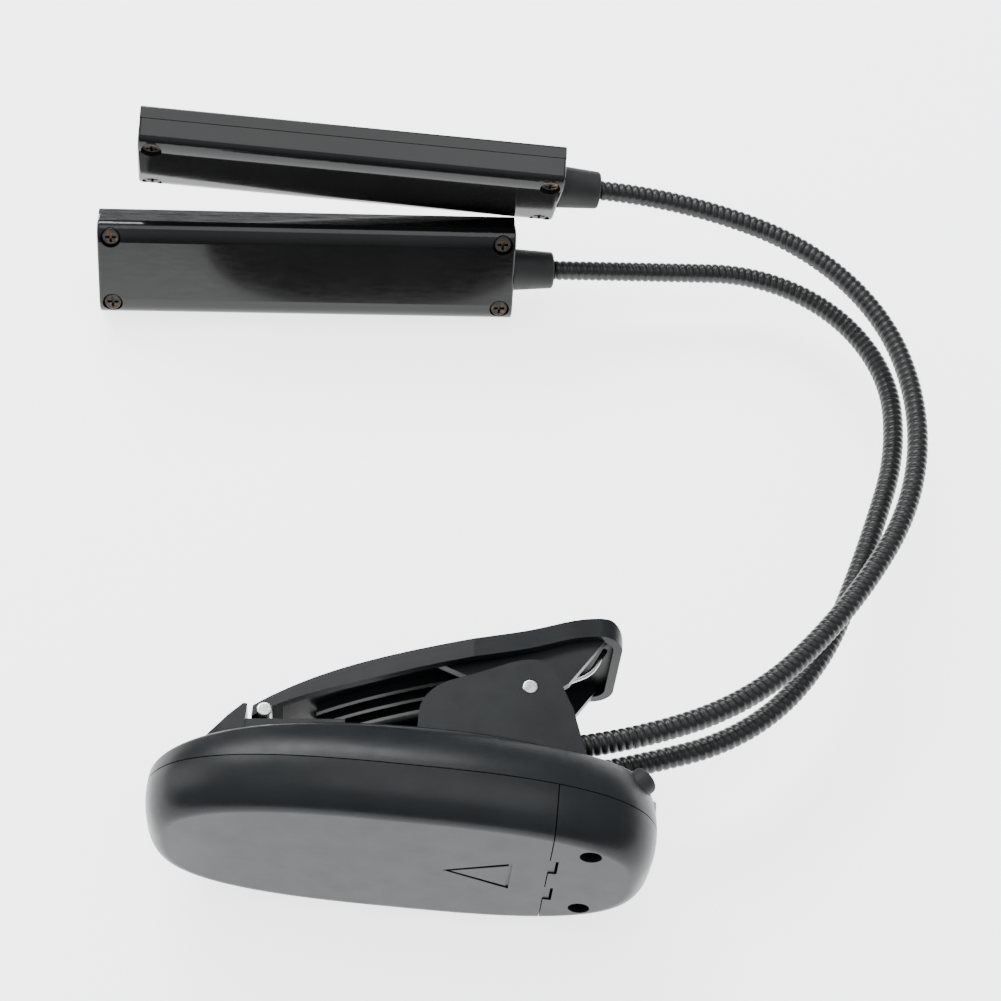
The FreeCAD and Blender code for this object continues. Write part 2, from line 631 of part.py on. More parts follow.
def make_torsion_spring():
    """The clip's spring: its coils as one sleeve round the pin, and its two legs."""
    outer = rod(V(PIVOT_X, PIVOT_Y, -COIL_HALF_WIDTH), UP, 2 * COIL_HALF_WIDTH,
                2 * COIL_RADIUS + COIL_WIRE)
    bore = rod(V(PIVOT_X, PIVOT_Y, -COIL_HALF_WIDTH - 1), UP, 2 * COIL_HALF_WIDTH + 2,
               2 * COIL_RADIUS - COIL_WIRE)
    sleeve = outer.cut(bore)
    leg_z = COIL_HALF_WIDTH - 0.6
    lever_leg = wire_path([V(PIVOT_X, PIVOT_Y + COIL_RADIUS, leg_z), V(-1.2, 41.2, leg_z),
                           V(1.2, 46.6, leg_z)], COIL_WIRE)
    base_leg = wire_path([V(PIVOT_X, PIVOT_Y - COIL_RADIUS, -leg_z),
                          V(-29.0, plate_top(-29.0) + COIL_WIRE / 2 + 0.2, -leg_z)], COIL_WIRE)
    return fuse([sleeve, lever_leg, base_leg])


def wire_path(points, diameter):
    """A bent wire or lead: straight lengths that run a little past their corners."""
    pieces = []
    last = len(points) - 2
    for index, (a, b) in enumerate(zip(points, points[1:])):
        past = 0 if index == last else diameter * 0.35
        pieces.append(rod(a, b - a, (b - a).Length + past, diameter))
    return fuse(pieces)


# ---------------------------------------------------------------- arms
def arm_frame(side):
    """Where an arm leaves the base, and the plane in which it bends."""
    place = V(EXIT_X, EXIT_Y, side * NECK_SPACING / 2)
    lean = FreeCAD.Rotation(OUT, ARM_A_ROLL) if side > 0 else FreeCAD.Rotation(ALONG, ARM_B_PITCH)
    return FreeCAD.Placement(place, lean)


def walk(bends, start_angle):
    """The arm's centre line as arcs: (x, y, heading, turn, length) for each."""
    x, y, heading = 0.0, 0.0, math.radians(start_angle)
    steps = []
    for turn_deg, length in bends:
        steps.append((x, y, heading, math.radians(turn_deg), length))
        x, y, heading = along(steps[-1], length)
    return steps, (x, y, heading)


def along(step, distance):
    """Position and heading at a distance along one arc."""
    x, y, heading, turn, length = step
    if abs(turn) < 1e-9:
        return x + distance * math.cos(heading), y + distance * math.sin(heading), heading
    radius = length / turn
    end = heading + turn * distance / length
    return (x + radius * (math.sin(end) - math.sin(heading)),
            y - radius * (math.cos(end) - math.cos(heading)), end)


def place_on(steps, distance):
    """Position and heading at a distance along the whole arm; before 0 it runs straight back."""
    if distance < 0:
        x, y, heading = steps[0][0], steps[0][1], steps[0][2]
        return x + distance * math.cos(heading), y + distance * math.sin(heading), heading
    for step in steps:
        if distance <= step[4] + 1e-9:
            return along(step, distance)
        distance -= step[4]
    return along(steps[-1], steps[-1][4])


def arm_length(bends):
    return sum(length for turn, length in bends)


def path_edges(steps, start, end):
    """Tangent runs and arcs of the centre line between two distances."""
    marks = [start]
    total = 0.0
    for step in steps:
        if start + 1e-6 < total < end - 1e-6:
            marks.append(total)
        total += step[4]
    marks.append(end)
    edges = []
    for a, b in zip(marks, marks[1:]):
        p, m, q = place_on(steps, a), place_on(steps, (a + b) / 2), place_on(steps, b)
        pa, pm, pb = V(p[0], p[1], 0), V(m[0], m[1], 0), V(q[0], q[1], 0)
        if abs(q[2] - p[2]) < 1e-6:
            edges.append(Part.LineSegment(pa, pb).toShape())
        else:
            edges.append(Part.Arc(pa, pm, pb).toShape())
    return edges


def tube(steps, start, end, diameter):
    """A round bar along the centre line."""
    x, y, heading = place_on(steps, start)
    ahead = V(math.cos(heading), math.sin(heading), 0)
    profile = Part.Wire(Part.makeCircle(diameter / 2, V(x, y, 0), ahead).Edges)
    return Part.Wire(path_edges(steps, start, end)).makePipeShell([profile], True, True)


def neck_section(steps, distance):
    """The neck's ring-shaped section at a distance along the arm."""
    x, y, heading = place_on(steps, distance)
    ahead = V(math.cos(heading), math.sin(heading), 0)
    discs = [Part.Face(Part.Wire(Part.makeCircle(d / 2, V(x, y, 0), ahead).Edges))
             for d in (NECK_D, NECK_BORE)]
    return discs[0].cut(discs[1]).Faces[0], ahead


def neck_marks(bends):
    """Distances along the arm where its stiff lengths meet."""
    return [arm_length(bends[:index]) for index in range(len(bends) + 1)]


def neck_end(steps, distance, outward):
    """A collar that takes the corner off a stiff length's end, seen from its inside."""
    x, y, heading = place_on(steps, distance)
    direction = V(math.cos(heading), math.sin(heading), 0) * outward
    reach = NECK_CHAMFER + 1.0
    start = V(x, y, 0) - direction * (NECK_CHAMFER + 0.5)
    block = rod(start, direction, reach, NECK_D + 2)
    core = taper(start, direction, reach, NECK_D + 1.0, NECK_D + 1.0 - 2 * reach)
    return block.cut(core)


def make_neck_part(side, bends, index):
    steps, end = walk(bends, EXIT_ANGLE)
    marks = neck_marks(bends)
    start = marks[index] + NECK_JOINT_GAP / 2 if index else 0.0
    stop = marks[index + 1] - NECK_JOINT_GAP / 2
    last = len(bends) - 1
    if index == last:
        stop = marks[index + 1] - GROMMET_GAP
    x, y, heading, turn, length = steps[index]
    radius = length / turn
    centre = V(x - radius * math.sin(heading), y + radius * math.cos(heading), 0)
    section, ahead = neck_section(steps, start)
    bar = section.revolve(centre, UP, math.degrees(turn) * (stop - start) / length)
    if index:
        bar = bar.cut(neck_end(steps, start, -1))
    else:
        bar = bar.fuse(section.extrude(ahead * -NECK_BURIED)).removeSplitter()
    if index < last:
        bar = bar.cut(neck_end(steps, stop, 1))
    bar = largest(bar)
    bar.Placement = arm_frame(side)
    return bar


def make_arm_lead(side, bends):
    steps, end = walk(bends, EXIT_ANGLE)
    lead = tube(steps, -NECK_BURIED, arm_length(bends), LEAD_D)
    lead.Placement = arm_frame(side)
    return lead


def make_neck_holder():
    """The block between the ears that grips both necks."""
    pieces = [box(-10.6, EXIT_X - 1.2, RIM_Y + 0.2, 22.4, -8.4, 8.4)]
    for side in (1, -1):
        frame = arm_frame(side)
        direction = V(math.cos(math.radians(EXIT_ANGLE)), math.sin(math.radians(EXIT_ANGLE)), 0)
        direction = frame.Rotation.multVec(direction)
        socket = rod(frame.Base - direction * NECK_BURIED, direction, NECK_BURIED - 0.6, NECK_D + 2.6)
        pieces.append(socket)
    block = fuse(pieces)
    for side in (1, -1):
        frame = arm_frame(side)
        direction = V(math.cos(math.radians(EXIT_ANGLE)), math.sin(math.radians(EXIT_ANGLE)), 0)
        direction = frame.Rotation.multVec(direction)
        block = block.cut(rod(frame.Base - direction * (NECK_BURIED + 9), direction, 40, NECK_D + 0.04))
    return largest(block.cut(NODES["jaw_plate"]))


# ---------------------------------------------------------------- heads
def head_frame(side, bends, lean):
    """The head's own frame: X along the neck into the head, Y towards its back, Z across."""
    steps, (x, y, heading) = walk(bends, EXIT_ANGLE)
    frame = arm_frame(side)
    spot = frame.multVec(V(x, y, 0))
    along_head = frame.Rotation.multVec(V(math.cos(heading), math.sin(heading), 0))
    across = frame.Rotation.multVec(UP)
    back = across.cross(along_head)
    matrix = FreeCAD.Matrix(along_head.x, back.x, across.x, spot.x,
                            along_head.y, back.y, across.y, spot.y,
                            along_head.z, back.z, across.z, spot.z, 0, 0, 0, 1)
    plain = FreeCAD.Placement(matrix)
    tilt = FreeCAD.Placement(ORIGIN, FreeCAD.Rotation(ALONG, lean))
    return plain.multiply(tilt)


def head_section(inset, x, front, back):
    """The head across its length: straight sides from the light side, rounded to a flat back."""
    half = HEAD_WIDTH / 2 - inset
    light = -HEAD_THICKNESS / 2
    side_top = light + HEAD_SIDE
    shoulder = HEAD_SHOULDER
    flat = half - shoulder
    peak = light + HEAD_THICKNESS - inset
    y0 = light + front
    y1 = min(peak, light + back)
    edges = [Part.LineSegment(V(x, y0, -half), V(x, y0, half)).toShape()]
    if y1 <= side_top:
        edges += [Part.LineSegment(V(x, y0, half), V(x, y1, half)).toShape(),
                  Part.LineSegment(V(x, y1, half), V(x, y1, -half)).toShape(),
                  Part.LineSegment(V(x, y1, -half), V(x, y0, -half)).toShape()]
        return Part.Wire(edges)
    curves = []
    for sign in (1, -1):
        rise = peak - side_top
        points = []
        for step in range(7):
            turn = math.pi / 2 * step / 6
            points.append(V(x, side_top + rise * math.sin(turn),
                            sign * (flat + shoulder * math.cos(turn))))
        curve = Part.BSplineCurve()
        curve.interpolate(points)
        curves.append(curve.toShape())
    edges += [Part.LineSegment(V(x, y0, half), V(x, side_top, half)).toShape(), curves[0],
              Part.LineSegment(V(x, peak, flat), V(x, peak, -flat)).toShape(), curves[1],
              Part.LineSegment(V(x, side_top, -half), V(x, y0, -half)).toShape()]
    return Part.Wire(Part.__sortEdges__(edges))


def head_block(inset, front, back):
    """A length of the head's section; inset draws in the sides, back and ends."""
    start = GROMMET_LENGTH + inset
    face = Part.Face(head_section(inset, start, front, back))
    return face.extrude(V(HEAD_LENGTH - 2 * inset, 0, 0))


def head_screw_places():
    near = GROMMET_LENGTH + HEAD_SCREW_INSET
    far = GROMMET_LENGTH + HEAD_LENGTH - HEAD_SCREW_INSET
    return [(x, sign * HEAD_SCREW_SPACING / 2) for x in (near, far) for sign in (1, -1)]


def screw_seat_y():
    return HEAD_THICKNESS / 2 - HEAD_SCREW_SINK - 0.9


def make_head_back():
    outer = head_block(0, BEZEL_DEPTH, 99)
    outer = soften(outer, 0.5, lambda e: e.BoundBox.XLength < 0.01 and e.BoundBox.YMax
                   > -HEAD_THICKNESS / 2 + BEZEL_DEPTH + 0.2)
    shell = outer.cut(head_block(HEAD_WALL, BEZEL_DEPTH - 1, 99))
    for x, z in head_screw_places():
        boss = rod(V(x, -HEAD_THICKNESS / 2 + BEZEL_DEPTH + 0.1, z), OUT,
                   HEAD_THICKNESS - BEZEL_DEPTH - 0.5, HEAD_SCREW_D + 1.4)
        shell = shell.fuse(boss.common(head_block(0.2, 0, 99)))
    for x, z in head_screw_places():
        shell = shell.cut(rod(V(x, screw_seat_y(), z), OUT, 5, HEAD_SCREW_D + 0.3))
        shell = shell.cut(rod(V(x, -HEAD_THICKNESS, z), OUT, 2 * HEAD_THICKNESS, 2.0))
    collar = rod(V(GROMMET_LENGTH - 1, 0, 0), ALONG, 2 + HEAD_WALL, SPIGOT_D + 0.2)
    return largest(shell.cut(collar).removeSplitter())


def make_bezel():
    frame = head_block(0, 0, BEZEL_DEPTH - BEZEL_GAP)
    frame = soften(frame, 0.5, lambda e: e.BoundBox.YMax < -HEAD_THICKNESS / 2 + 0.01)
    window = box(GROMMET_LENGTH + BEZEL_RIM, GROMMET_LENGTH + HEAD_LENGTH - BEZEL_RIM,
                 -HEAD_THICKNESS, HEAD_THICKNESS, -HEAD_WIDTH / 2 + BEZEL_RIM,
                 HEAD_WIDTH / 2 - BEZEL_RIM)
    frame = frame.cut(window)
    posts = []
    light = -HEAD_THICKNESS / 2
    for x, z in head_screw_places():
        post = rod(V(x, light + LENS_THICKNESS + 0.5, z), OUT, BEZEL_DEPTH - BEZEL_GAP
                   - LENS_THICKNESS - 0.5, 4.0)
        posts.append(post)
        x_edge = GROMMET_LENGTH + 0.3 if x < HEAD_LENGTH / 2 else GROMMET_LENGTH + HEAD_LENGTH - 0.3
        x0, x1 = sorted((x, x_edge))
        posts.append(box(x0, x1, light + LENS_THICKNESS + 0.5, light + BEZEL_DEPTH - BEZEL_GAP,
                         z - 1.6, z + 1.6))
    frame = fuse([frame] + posts)
    for x, z in head_screw_places():
        frame = frame.cut(rod(V(x, light + LENS_THICKNESS + 0.9, z), OUT, 5, 1.55))
    return largest(frame)


def make_lens():
    gap = 0.12
    light = -HEAD_THICKNESS / 2
    lens = box(GROMMET_LENGTH + BEZEL_RIM + gap, GROMMET_LENGTH + HEAD_LENGTH - BEZEL_RIM - gap,
               light + 0.35, light + 0.35 + LENS_THICKNESS, -HEAD_WIDTH / 2 + BEZEL_RIM + gap,
               HEAD_WIDTH / 2 - BEZEL_RIM - gap)
    return soften(lens, 0.3, lambda e: e.BoundBox.YMax < light + 0.36)


def board_y():
    return -HEAD_THICKNESS / 2 + BEZEL_DEPTH + 0.75


def make_led_board():
    inset = 2 * HEAD_SCREW_INSET + 0.6
    return box(GROMMET_LENGTH + inset, GROMMET_LENGTH + HEAD_LENGTH - inset, board_y(),
               board_y() + BOARD_THICKNESS, -6.5, 6.5)


def make_leds():
    inset = 2 * HEAD_SCREW_INSET + 6.0
    first = GROMMET_LENGTH + inset
    last = GROMMET_LENGTH + HEAD_LENGTH - inset
    leds = []
    for index in range(LED_COUNT):
        x = first + (last - first) * index / (LED_COUNT - 1)
        leds.append(box(x - LED_SIZE / 2, x + LED_SIZE / 2, board_y() - LED_HEIGHT, board_y(),
                        -LED_SIZE / 2, LED_SIZE / 2))
    return group(leds)


def make_board_clips():
    """Two ribs that hold the board to the back of the housing."""
    clips = []
    for x in (GROMMET_LENGTH + 24, GROMMET_LENGTH + HEAD_LENGTH - 24):
        clips.append(box(x - 1, x + 1, board_y() + BOARD_THICKNESS, HEAD_THICKNESS / 2 - HEAD_WALL,
                         -4, 4))
    return group(clips)


def make_head_screw(x, z):
    """A pan-headed cross-recess screw."""
    seat = screw_seat_y()
    head = rod(V(x, seat, z), OUT, 1.1, HEAD_SCREW_D)
    head = soften(head, 0.45, lambda e: e.BoundBox.YMin > seat + 1.0)
    arms = [box(x - 1.2, x + 1.2, seat + 0.35, seat + 2, z - 0.27, z + 0.27),
            box(x - 0.27, x + 0.27, seat + 0.35, seat + 2, z - 1.2, z + 1.2)]
    bottom = -HEAD_THICKNESS / 2 + LENS_THICKNESS + 1.0
    shank = rod(V(x, bottom, z), OUT, seat - bottom + 0.1, 1.5)
    return fuse([head, shank]).cut(fuse(arms))


def make_grommet():
    body = taper(V(0, 0, 0), ALONG, GROMMET_LENGTH, GROMMET_D_END, GROMMET_D_HEAD)
    body = soften(body, 0.7, lambda e: e.BoundBox.XMax < 0.01)
    neck = rod(V(GROMMET_LENGTH - 0.1, 0, 0), ALONG, HEAD_WALL + 0.1, SPIGOT_D)
    body = fuse([body, neck])
    socket = rod(V(-1, 0, 0), ALONG, 1 + 5.0, NECK_D + 0.1)
    bore = rod(V(0, 0, 0), ALONG, 20, NECK_BORE)
    return largest(body.cut(socket).cut(bore))


def make_head_lead():
    start = V(0.1, 0, 0)
    steps = [start, V(GROMMET_LENGTH + 3.0, 0, 0), V(GROMMET_LENGTH + 9.0, board_y()
             + BOARD_THICKNESS + 1.2, 0)]
    return wire_path(steps, LEAD_D)


def make_head(letter, side, bends, lean):
    frame = head_frame(side, bends, lean)
    back = make_head_back()
    back = largest(back.fuse(make_board_clips()).removeSplitter())
    pieces = {
        "back_housing": back,
        "bezel": make_bezel(),
        "lens": make_lens(),
        "led_board": make_led_board(),
        "leds": make_leds(),
        "screws": group([make_head_screw(x, z) for x, z in head_screw_places()]),
        "grommet": make_grommet(),
        "lead": make_head_lead(),
    }
    for name, shape in pieces.items():
        shape = shape.copy()
        shape.Placement = frame.multiply(shape.Placement)
        NODES["head_" + letter + "_" + name] = shape


def make_base_leads():
    """Leads from the neck holder down to the board."""
    leads = []
    for side in (1, -1):
        frame = arm_frame(side)
        direction = V(math.cos(math.radians(EXIT_ANGLE)), math.sin(math.radians(EXIT_ANGLE)), 0)
        start = frame.Base - frame.Rotation.multVec(direction) * (NECK_BURIED + 0.9)
        down = V(start.x - 0.4, RIM_Y - WALL - 1.2, start.z)
        board = V(-1.4, SEAM_Y + 1.55 + LEAD_D / 2, start.z)
        leads.append(wire_path([start, down, board], LEAD_D))
    return group(leads)


# ---------------------------------------------------------------- assembly
ARMS = (("a", 1, ARM_A_BENDS, HEAD_A_LEAN), ("b", -1, ARM_B_BENDS, HEAD_B_LEAN))


def build():
    NODES["upper_shell"] = make_upper_shell()
    NODES["rear_shell"] = make_rear_shell()
    NODES["battery_door"] = make_door()
    NODES["battery_tray"] = make_tray()
    springs, plates = [], []
    for index, (front, z, spring_in_front) in enumerate(cell_places()):
        NODES["battery_" + str(index + 1)] = make_cell(front, z, spring_in_front)
        springs.append(make_contact_spring(front, z, spring_in_front))
        plates.append(make_contact_plate(BAY_FRONT_X - 0.4, z))
        plates.append(make_contact_plate(CELL_REAR_X, z))
    NODES["contact_springs"] = group(springs)
    NODES["contact_plates"] = group(plates)
    NODES["circuit_board"] = make_circuit_board()
    NODES["switches"] = group([make_switch(1), make_switch(-1)])
    NODES["button_a"] = make_button(1)
    NODES["button_b"] = make_button(-1)
    NODES["power_socket"] = make_power_socket()
    NODES["shell_screws"] = group([make_shell_screw(1), make_shell_screw(-1)])
    NODES["jaw_plate"] = make_jaw_plate()
    NODES["jaw_pad"] = make_pad()
    NODES["clip_lever"] = make_lever()
    NODES["tip_bar"] = make_tip_bar()
    NODES["pivot_pin"] = make_pivot_pin()
    NODES["torsion_spring"] = make_torsion_spring()
    NODES["neck_holder"] = make_neck_holder()
    NODES["base_leads"] = make_base_leads()
    for letter, side, bends, lean in ARMS:
        for index in range(len(bends)):
            NODES["arm_" + letter + "_neck_" + str(index + 1)] = make_neck_part(side, bends, index)
        NODES["arm_" + letter + "_lead"] = make_arm_lead(side, bends)
        make_head(letter, side, bends, lean)


def shift_to_origin():
    """Put the origin at the middle of the bottom of the whole object's box."""
    whole = FreeCAD.BoundBox()
    for shape in NODES.values():
        whole.add(shape.optimalBoundingBox(False, False))
    return V(-whole.Center.x, -whole.Center.y, -whole.ZMin)


build()
SHIFT = shift_to_origin()
os.makedirs("parts", exist_ok=True)
for name, shape in NODES.items():
    moved = shape.copy()
    moved.translate(SHIFT)
    moved.exportStep("parts/" + name + ".step")
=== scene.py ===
import json
import math
import bpy
from mathutils import Matrix, Vector


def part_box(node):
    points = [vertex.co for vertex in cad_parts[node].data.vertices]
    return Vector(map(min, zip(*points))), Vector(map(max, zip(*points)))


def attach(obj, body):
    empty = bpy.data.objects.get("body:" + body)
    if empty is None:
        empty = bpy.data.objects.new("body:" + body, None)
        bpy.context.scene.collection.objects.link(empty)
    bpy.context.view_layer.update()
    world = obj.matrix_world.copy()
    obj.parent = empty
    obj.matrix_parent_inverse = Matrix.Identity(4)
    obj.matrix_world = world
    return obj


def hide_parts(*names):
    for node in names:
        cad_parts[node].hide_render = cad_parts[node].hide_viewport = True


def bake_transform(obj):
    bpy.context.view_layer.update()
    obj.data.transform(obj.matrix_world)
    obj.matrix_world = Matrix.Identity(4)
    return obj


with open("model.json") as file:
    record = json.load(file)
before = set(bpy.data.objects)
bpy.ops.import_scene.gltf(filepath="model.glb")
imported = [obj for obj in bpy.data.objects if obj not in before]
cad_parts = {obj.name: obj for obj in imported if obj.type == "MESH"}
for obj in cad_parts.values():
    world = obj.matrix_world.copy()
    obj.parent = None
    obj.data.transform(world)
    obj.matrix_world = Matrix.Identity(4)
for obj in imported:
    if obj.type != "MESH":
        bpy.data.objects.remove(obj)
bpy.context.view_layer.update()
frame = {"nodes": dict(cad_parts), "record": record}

MM = 0.001

# The lamp is described in millimetres, in the same working frame as the CAD source: X along the base,
# Y away from its underside and Z across it.  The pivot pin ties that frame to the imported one.
PIVOT = Vector((-13.1, 31.2, 0.0))
pin_low, pin_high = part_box("pivot_pin")
SHIFT = (Vector(pin_low) + Vector(pin_high)) / 2 - PIVOT * MM


def place(x, y, z):
    return Vector((x, y, z)) * MM + SHIFT


# ------------------------------------------------------------------ camera
LENS, SENSOR, NEAREST = 80.92, 36.0, 0.01
CAMERA_SPOT = (-31.06, -178.36, 372.93)
CAMERA_RISE, CAMERA_SWING, CAMERA_ROLL = 55.0, -2.2, 7.5


def make_camera():
    """The camera above the table on the underside's side, aimed by its rise, swing and roll in degrees."""
    data = bpy.data.cameras.new("camera")
    data.lens = LENS
    data.sensor_width = SENSOR
    data.clip_start = NEAREST
    camera = bpy.data.objects.new("camera", data)
    bpy.context.collection.objects.link(camera)
    rise, swing = math.radians(CAMERA_RISE), math.radians(CAMERA_SWING)
    roll = math.radians(CAMERA_ROLL)
    back = Vector((math.sin(swing) * math.cos(rise), -math.cos(swing) * math.cos(rise), math.sin(rise)))
    right = (-back).cross(Vector((0, 0, 1))).normalized()
    up = right.cross(-back)
    right, up = (right * math.cos(roll) + up * math.sin(roll),
                 up * math.cos(roll) - right * math.sin(roll))
    turn = Matrix((right, up, back)).transposed().to_4x4()
    camera.matrix_world = Matrix.Translation(place(*CAMERA_SPOT)) @ turn
    bpy.context.scene.camera = camera


make_camera()


# ------------------------------------------------------------------ materials
class Shader:
    """A Principled material with a few short-hands for its procedural detail."""

    def __init__(self, name):
        self.material = bpy.data.materials.new(name)
        self.material.use_nodes = True
        self.nodes = self.material.node_tree.nodes
        self.links = self.material.node_tree.links
        self.bsdf = self.nodes["Principled BSDF"]
        self.coords = self.nodes.new("ShaderNodeTexCoord").outputs["Object"]

    def set(self, **values):
        for key, value in values.items():
            self.bsdf.inputs[key.replace("_", " ")].default_value = value
        return self

    def noise(self, scale, detail=3.0, stretch=None):
        node = self.nodes.new("ShaderNodeTexNoise")
        node.inputs["Scale"].default_value = scale
        node.inputs["Detail"].default_value = detail
        self.links.new(self.stretched(stretch), node.inputs["Vector"])
        return node.outputs["Fac"]

    def cells(self, scale, stretch=None):
        node = self.nodes.new("ShaderNodeTexVoronoi")
        node.inputs["Scale"].default_value = scale
        self.links.new(self.stretched(stretch), node.inputs["Vector"])
        return node.outputs["Distance"]

    def stretched(self, stretch):
        if stretch is None:
            return self.coords
        node = self.nodes.new("ShaderNodeMapping")
        node.inputs["Scale"].default_value = stretch
        self.links.new(self.coords, node.inputs["Vector"])
        return node.outputs["Vector"]

    def ramp(self, source, stops):
        node = self.nodes.new("ShaderNodeValToRGB")
        ramp = node.color_ramp
        while len(ramp.elements) < len(stops):
            ramp.elements.new(0.5)
        for element, (position, colour) in zip(ramp.elements, stops):
            element.position = position
            element.color = colour
        self.links.new(source, node.inputs["Fac"])
        return node.outputs["Color"]

    def colour(self, source, stops):
        self.links.new(self.ramp(source, stops), self.bsdf.inputs["Base Color"])
        return self

    def rough(self, source, low, high):
        node = self.nodes.new("ShaderNodeMapRange")
        node.inputs["From Min"].default_value = 0.3
        node.inputs["From Max"].default_value = 0.7
        node.inputs["To Min"].default_value = low
        node.inputs["To Max"].default_value = high
        self.links.new(source, node.inputs["Value"])
        self.links.new(node.outputs["Result"], self.bsdf.inputs["Roughness"])
        return self

    def bump(self, sources, strength, distance):
        """One bump from one or more (source, strength) layers."""
        normal = None
        for source, share in sources:
            node = self.nodes.new("ShaderNodeBump")
            node.inputs["Strength"].default_value = strength * share
            node.inputs["Distance"].default_value = distance
            self.links.new(source, node.inputs["Height"])
            if normal is not None:
                self.links.new(normal, node.inputs["Normal"])
            normal = node.outputs["Normal"]
        self.links.new(normal, self.bsdf.inputs["Normal"])
        return self


def grey(value, tint=0.0):
    return (value, value * (1 + tint * 0.5), value * (1 + tint), 1.0)


def satin_black():
    """The moulded base, lever and jaw: black with a fine spark-eroded grain."""
    s = Shader("satin_black")
    s.set(Specular_IOR_Level=0.20)
    s.colour(s.noise(90, 4), [(0.3, grey(0.008, 0.25)), (0.7, grey(0.012, 0.25))])
    s.rough(s.noise(240, 4), 0.29, 0.37)
    s.bump([(s.cells(2600), 0.6), (s.noise(900, 2), 0.4)], 0.12, 0.00004)
    return s.material


def gloss_black():
    """The polished housings of the heads."""
    s = Shader("gloss_black")
    s.set(Specular_IOR_Level=0.28, Coat_Weight=0.12, Coat_Roughness=0.05)
    s.colour(s.noise(40, 3), [(0.3, grey(0.0045)), (0.7, grey(0.0075))])
    s.rough(s.noise(1400, 3, (0.15, 1.0, 1.0)), 0.09, 0.14)
    s.bump([(s.noise(60, 2), 1.0)], 0.05, 0.0002)
    return s.material


def neck_black():
    """The painted steel winding of the necks."""
    s = Shader("neck_black")
    s.set(Metallic=0.35, Specular_IOR_Level=0.45)
    s.colour(s.noise(500, 3), [(0.3, grey(0.010)), (0.7, grey(0.020))])
    s.rough(s.noise(700, 3), 0.30, 0.44)
    s.bump([(s.noise(3000, 2), 1.0)], 0.10, 0.00003)
    return s.material


def soft_black():
    """Rubber: grommets, jaw pad and buttons."""
    s = Shader("soft_black")
    s.set(Specular_IOR_Level=0.22, Sheen_Weight=0.04)
    s.colour(s.noise(160, 4), [(0.3, grey(0.013)), (0.7, grey(0.022))])
    s.rough(s.noise(320, 3), 0.52, 0.68)
    s.bump([(s.cells(3200), 0.5), (s.noise(1200, 3), 0.5)], 0.25, 0.00005)
    return s.material


def bright_steel():
    """Drawn wire and pins, brushed along their length."""
    s = Shader("bright_steel")
    s.set(Metallic=1.0)
    s.colour(s.noise(220, 4), [(0.3, grey(0.50)), (0.7, grey(0.68))])
    s.rough(s.noise(900, 4, (1.0, 1.0, 0.2)), 0.18, 0.34)
    s.bump([(s.noise(2200, 2, (1.0, 1.0, 0.1)), 1.0)], 0.08, 0.00002)
    return s.material


def dark_steel():
    """Blackened screws with a little rust in places."""
    s = Shader("dark_steel")
    s.set(Metallic=0.9)
    s.colour(s.noise(900, 4), [(0.40, grey(0.030)), (0.62, (0.055, 0.042, 0.034, 1.0)),
                               (0.74, (0.20, 0.08, 0.03, 1.0))])
    s.rough(s.noise(1200, 3), 0.26, 0.48)
    s.bump([(s.noise(2400, 3), 1.0)], 0.15, 0.00003)
    return s.material


def nickel():
    """Plated contacts, pins and cell ends."""
    s = Shader("nickel")
    s.set(Metallic=1.0)
    s.colour(s.noise(300, 3), [(0.3, (0.60, 0.57, 0.52, 1)), (0.7, (0.74, 0.71, 0.66, 1))])
    s.rough(s.noise(700, 3), 0.14, 0.28)
    s.bump([(s.noise(1500, 2), 1.0)], 0.06, 0.00002)
    return s.material


def board():
    """Green solder mask over faint copper."""
    s = Shader("board")
    s.set(Specular_IOR_Level=0.5, Coat_Weight=0.3)
    traces = s.cells(420)
    s.colour(traces, [(0.05, (0.02, 0.16, 0.06, 1)), (0.3, (0.01, 0.09, 0.03, 1))])
    s.rough(s.noise(500, 3), 0.28, 0.42)
    s.bump([(traces, 1.0)], 0.2, 0.00003)
    return s.material


def white_board():
    """White solder mask and white package bodies."""
    s = Shader("white_board")
    s.set(Specular_IOR_Level=0.5)
    s.colour(s.noise(300, 3), [(0.3, grey(0.74)), (0.7, grey(0.84))])
    s.rough(s.noise(500, 3), 0.34, 0.46)
    s.bump([(s.noise(900, 2), 1.0)], 0.08, 0.00003)
    return s.material


def led():
    """Yellow phosphor under clear resin."""
    s = Shader("led")
    s.set(Specular_IOR_Level=0.5, Subsurface_Weight=0.15)
    s.colour(s.noise(2500, 2), [(0.3, (0.84, 0.66, 0.12, 1)), (0.7, (0.93, 0.78, 0.22, 1))])
    s.rough(s.noise(900, 2), 0.18, 0.30)
    s.bump([(s.noise(3000, 2), 1.0)], 0.08, 0.00003)
    return s.material


def lens():
    """Frosted acrylic."""
    s = Shader("lens")
    s.set(Transmission_Weight=0.72, IOR=1.49)
    s.colour(s.noise(80, 2), [(0.3, (0.86, 0.88, 0.89, 1)), (0.7, (0.93, 0.94, 0.95, 1))])
    s.rough(s.noise(900, 3), 0.26, 0.36)
    s.bump([(s.cells(1600), 1.0)], 0.12, 0.00004)
    return s.material


def cell():
    """The printed sleeve of a cell."""
    s = Shader("cell")
    s.set(Specular_IOR_Level=0.5, Coat_Weight=0.4, Coat_Roughness=0.12)
    s.colour(s.noise(120, 3), [(0.3, (0.035, 0.055, 0.10, 1)), (0.7, (0.05, 0.08, 0.15, 1))])
    s.rough(s.noise(400, 3), 0.22, 0.34)
    s.bump([(s.noise(600, 2), 1.0)], 0.05, 0.00004)
    return s.material


def lead():
    """Red insulation."""
    s = Shader("lead")
    s.set(Specular_IOR_Level=0.5)
    s.colour(s.noise(200, 3), [(0.3, (0.30, 0.016, 0.012, 1)), (0.7, (0.42, 0.024, 0.018, 1))])
    s.rough(s.noise(500, 3), 0.34, 0.46)
    s.bump([(s.noise(1400, 2), 1.0)], 0.08, 0.00003)
    return s.material


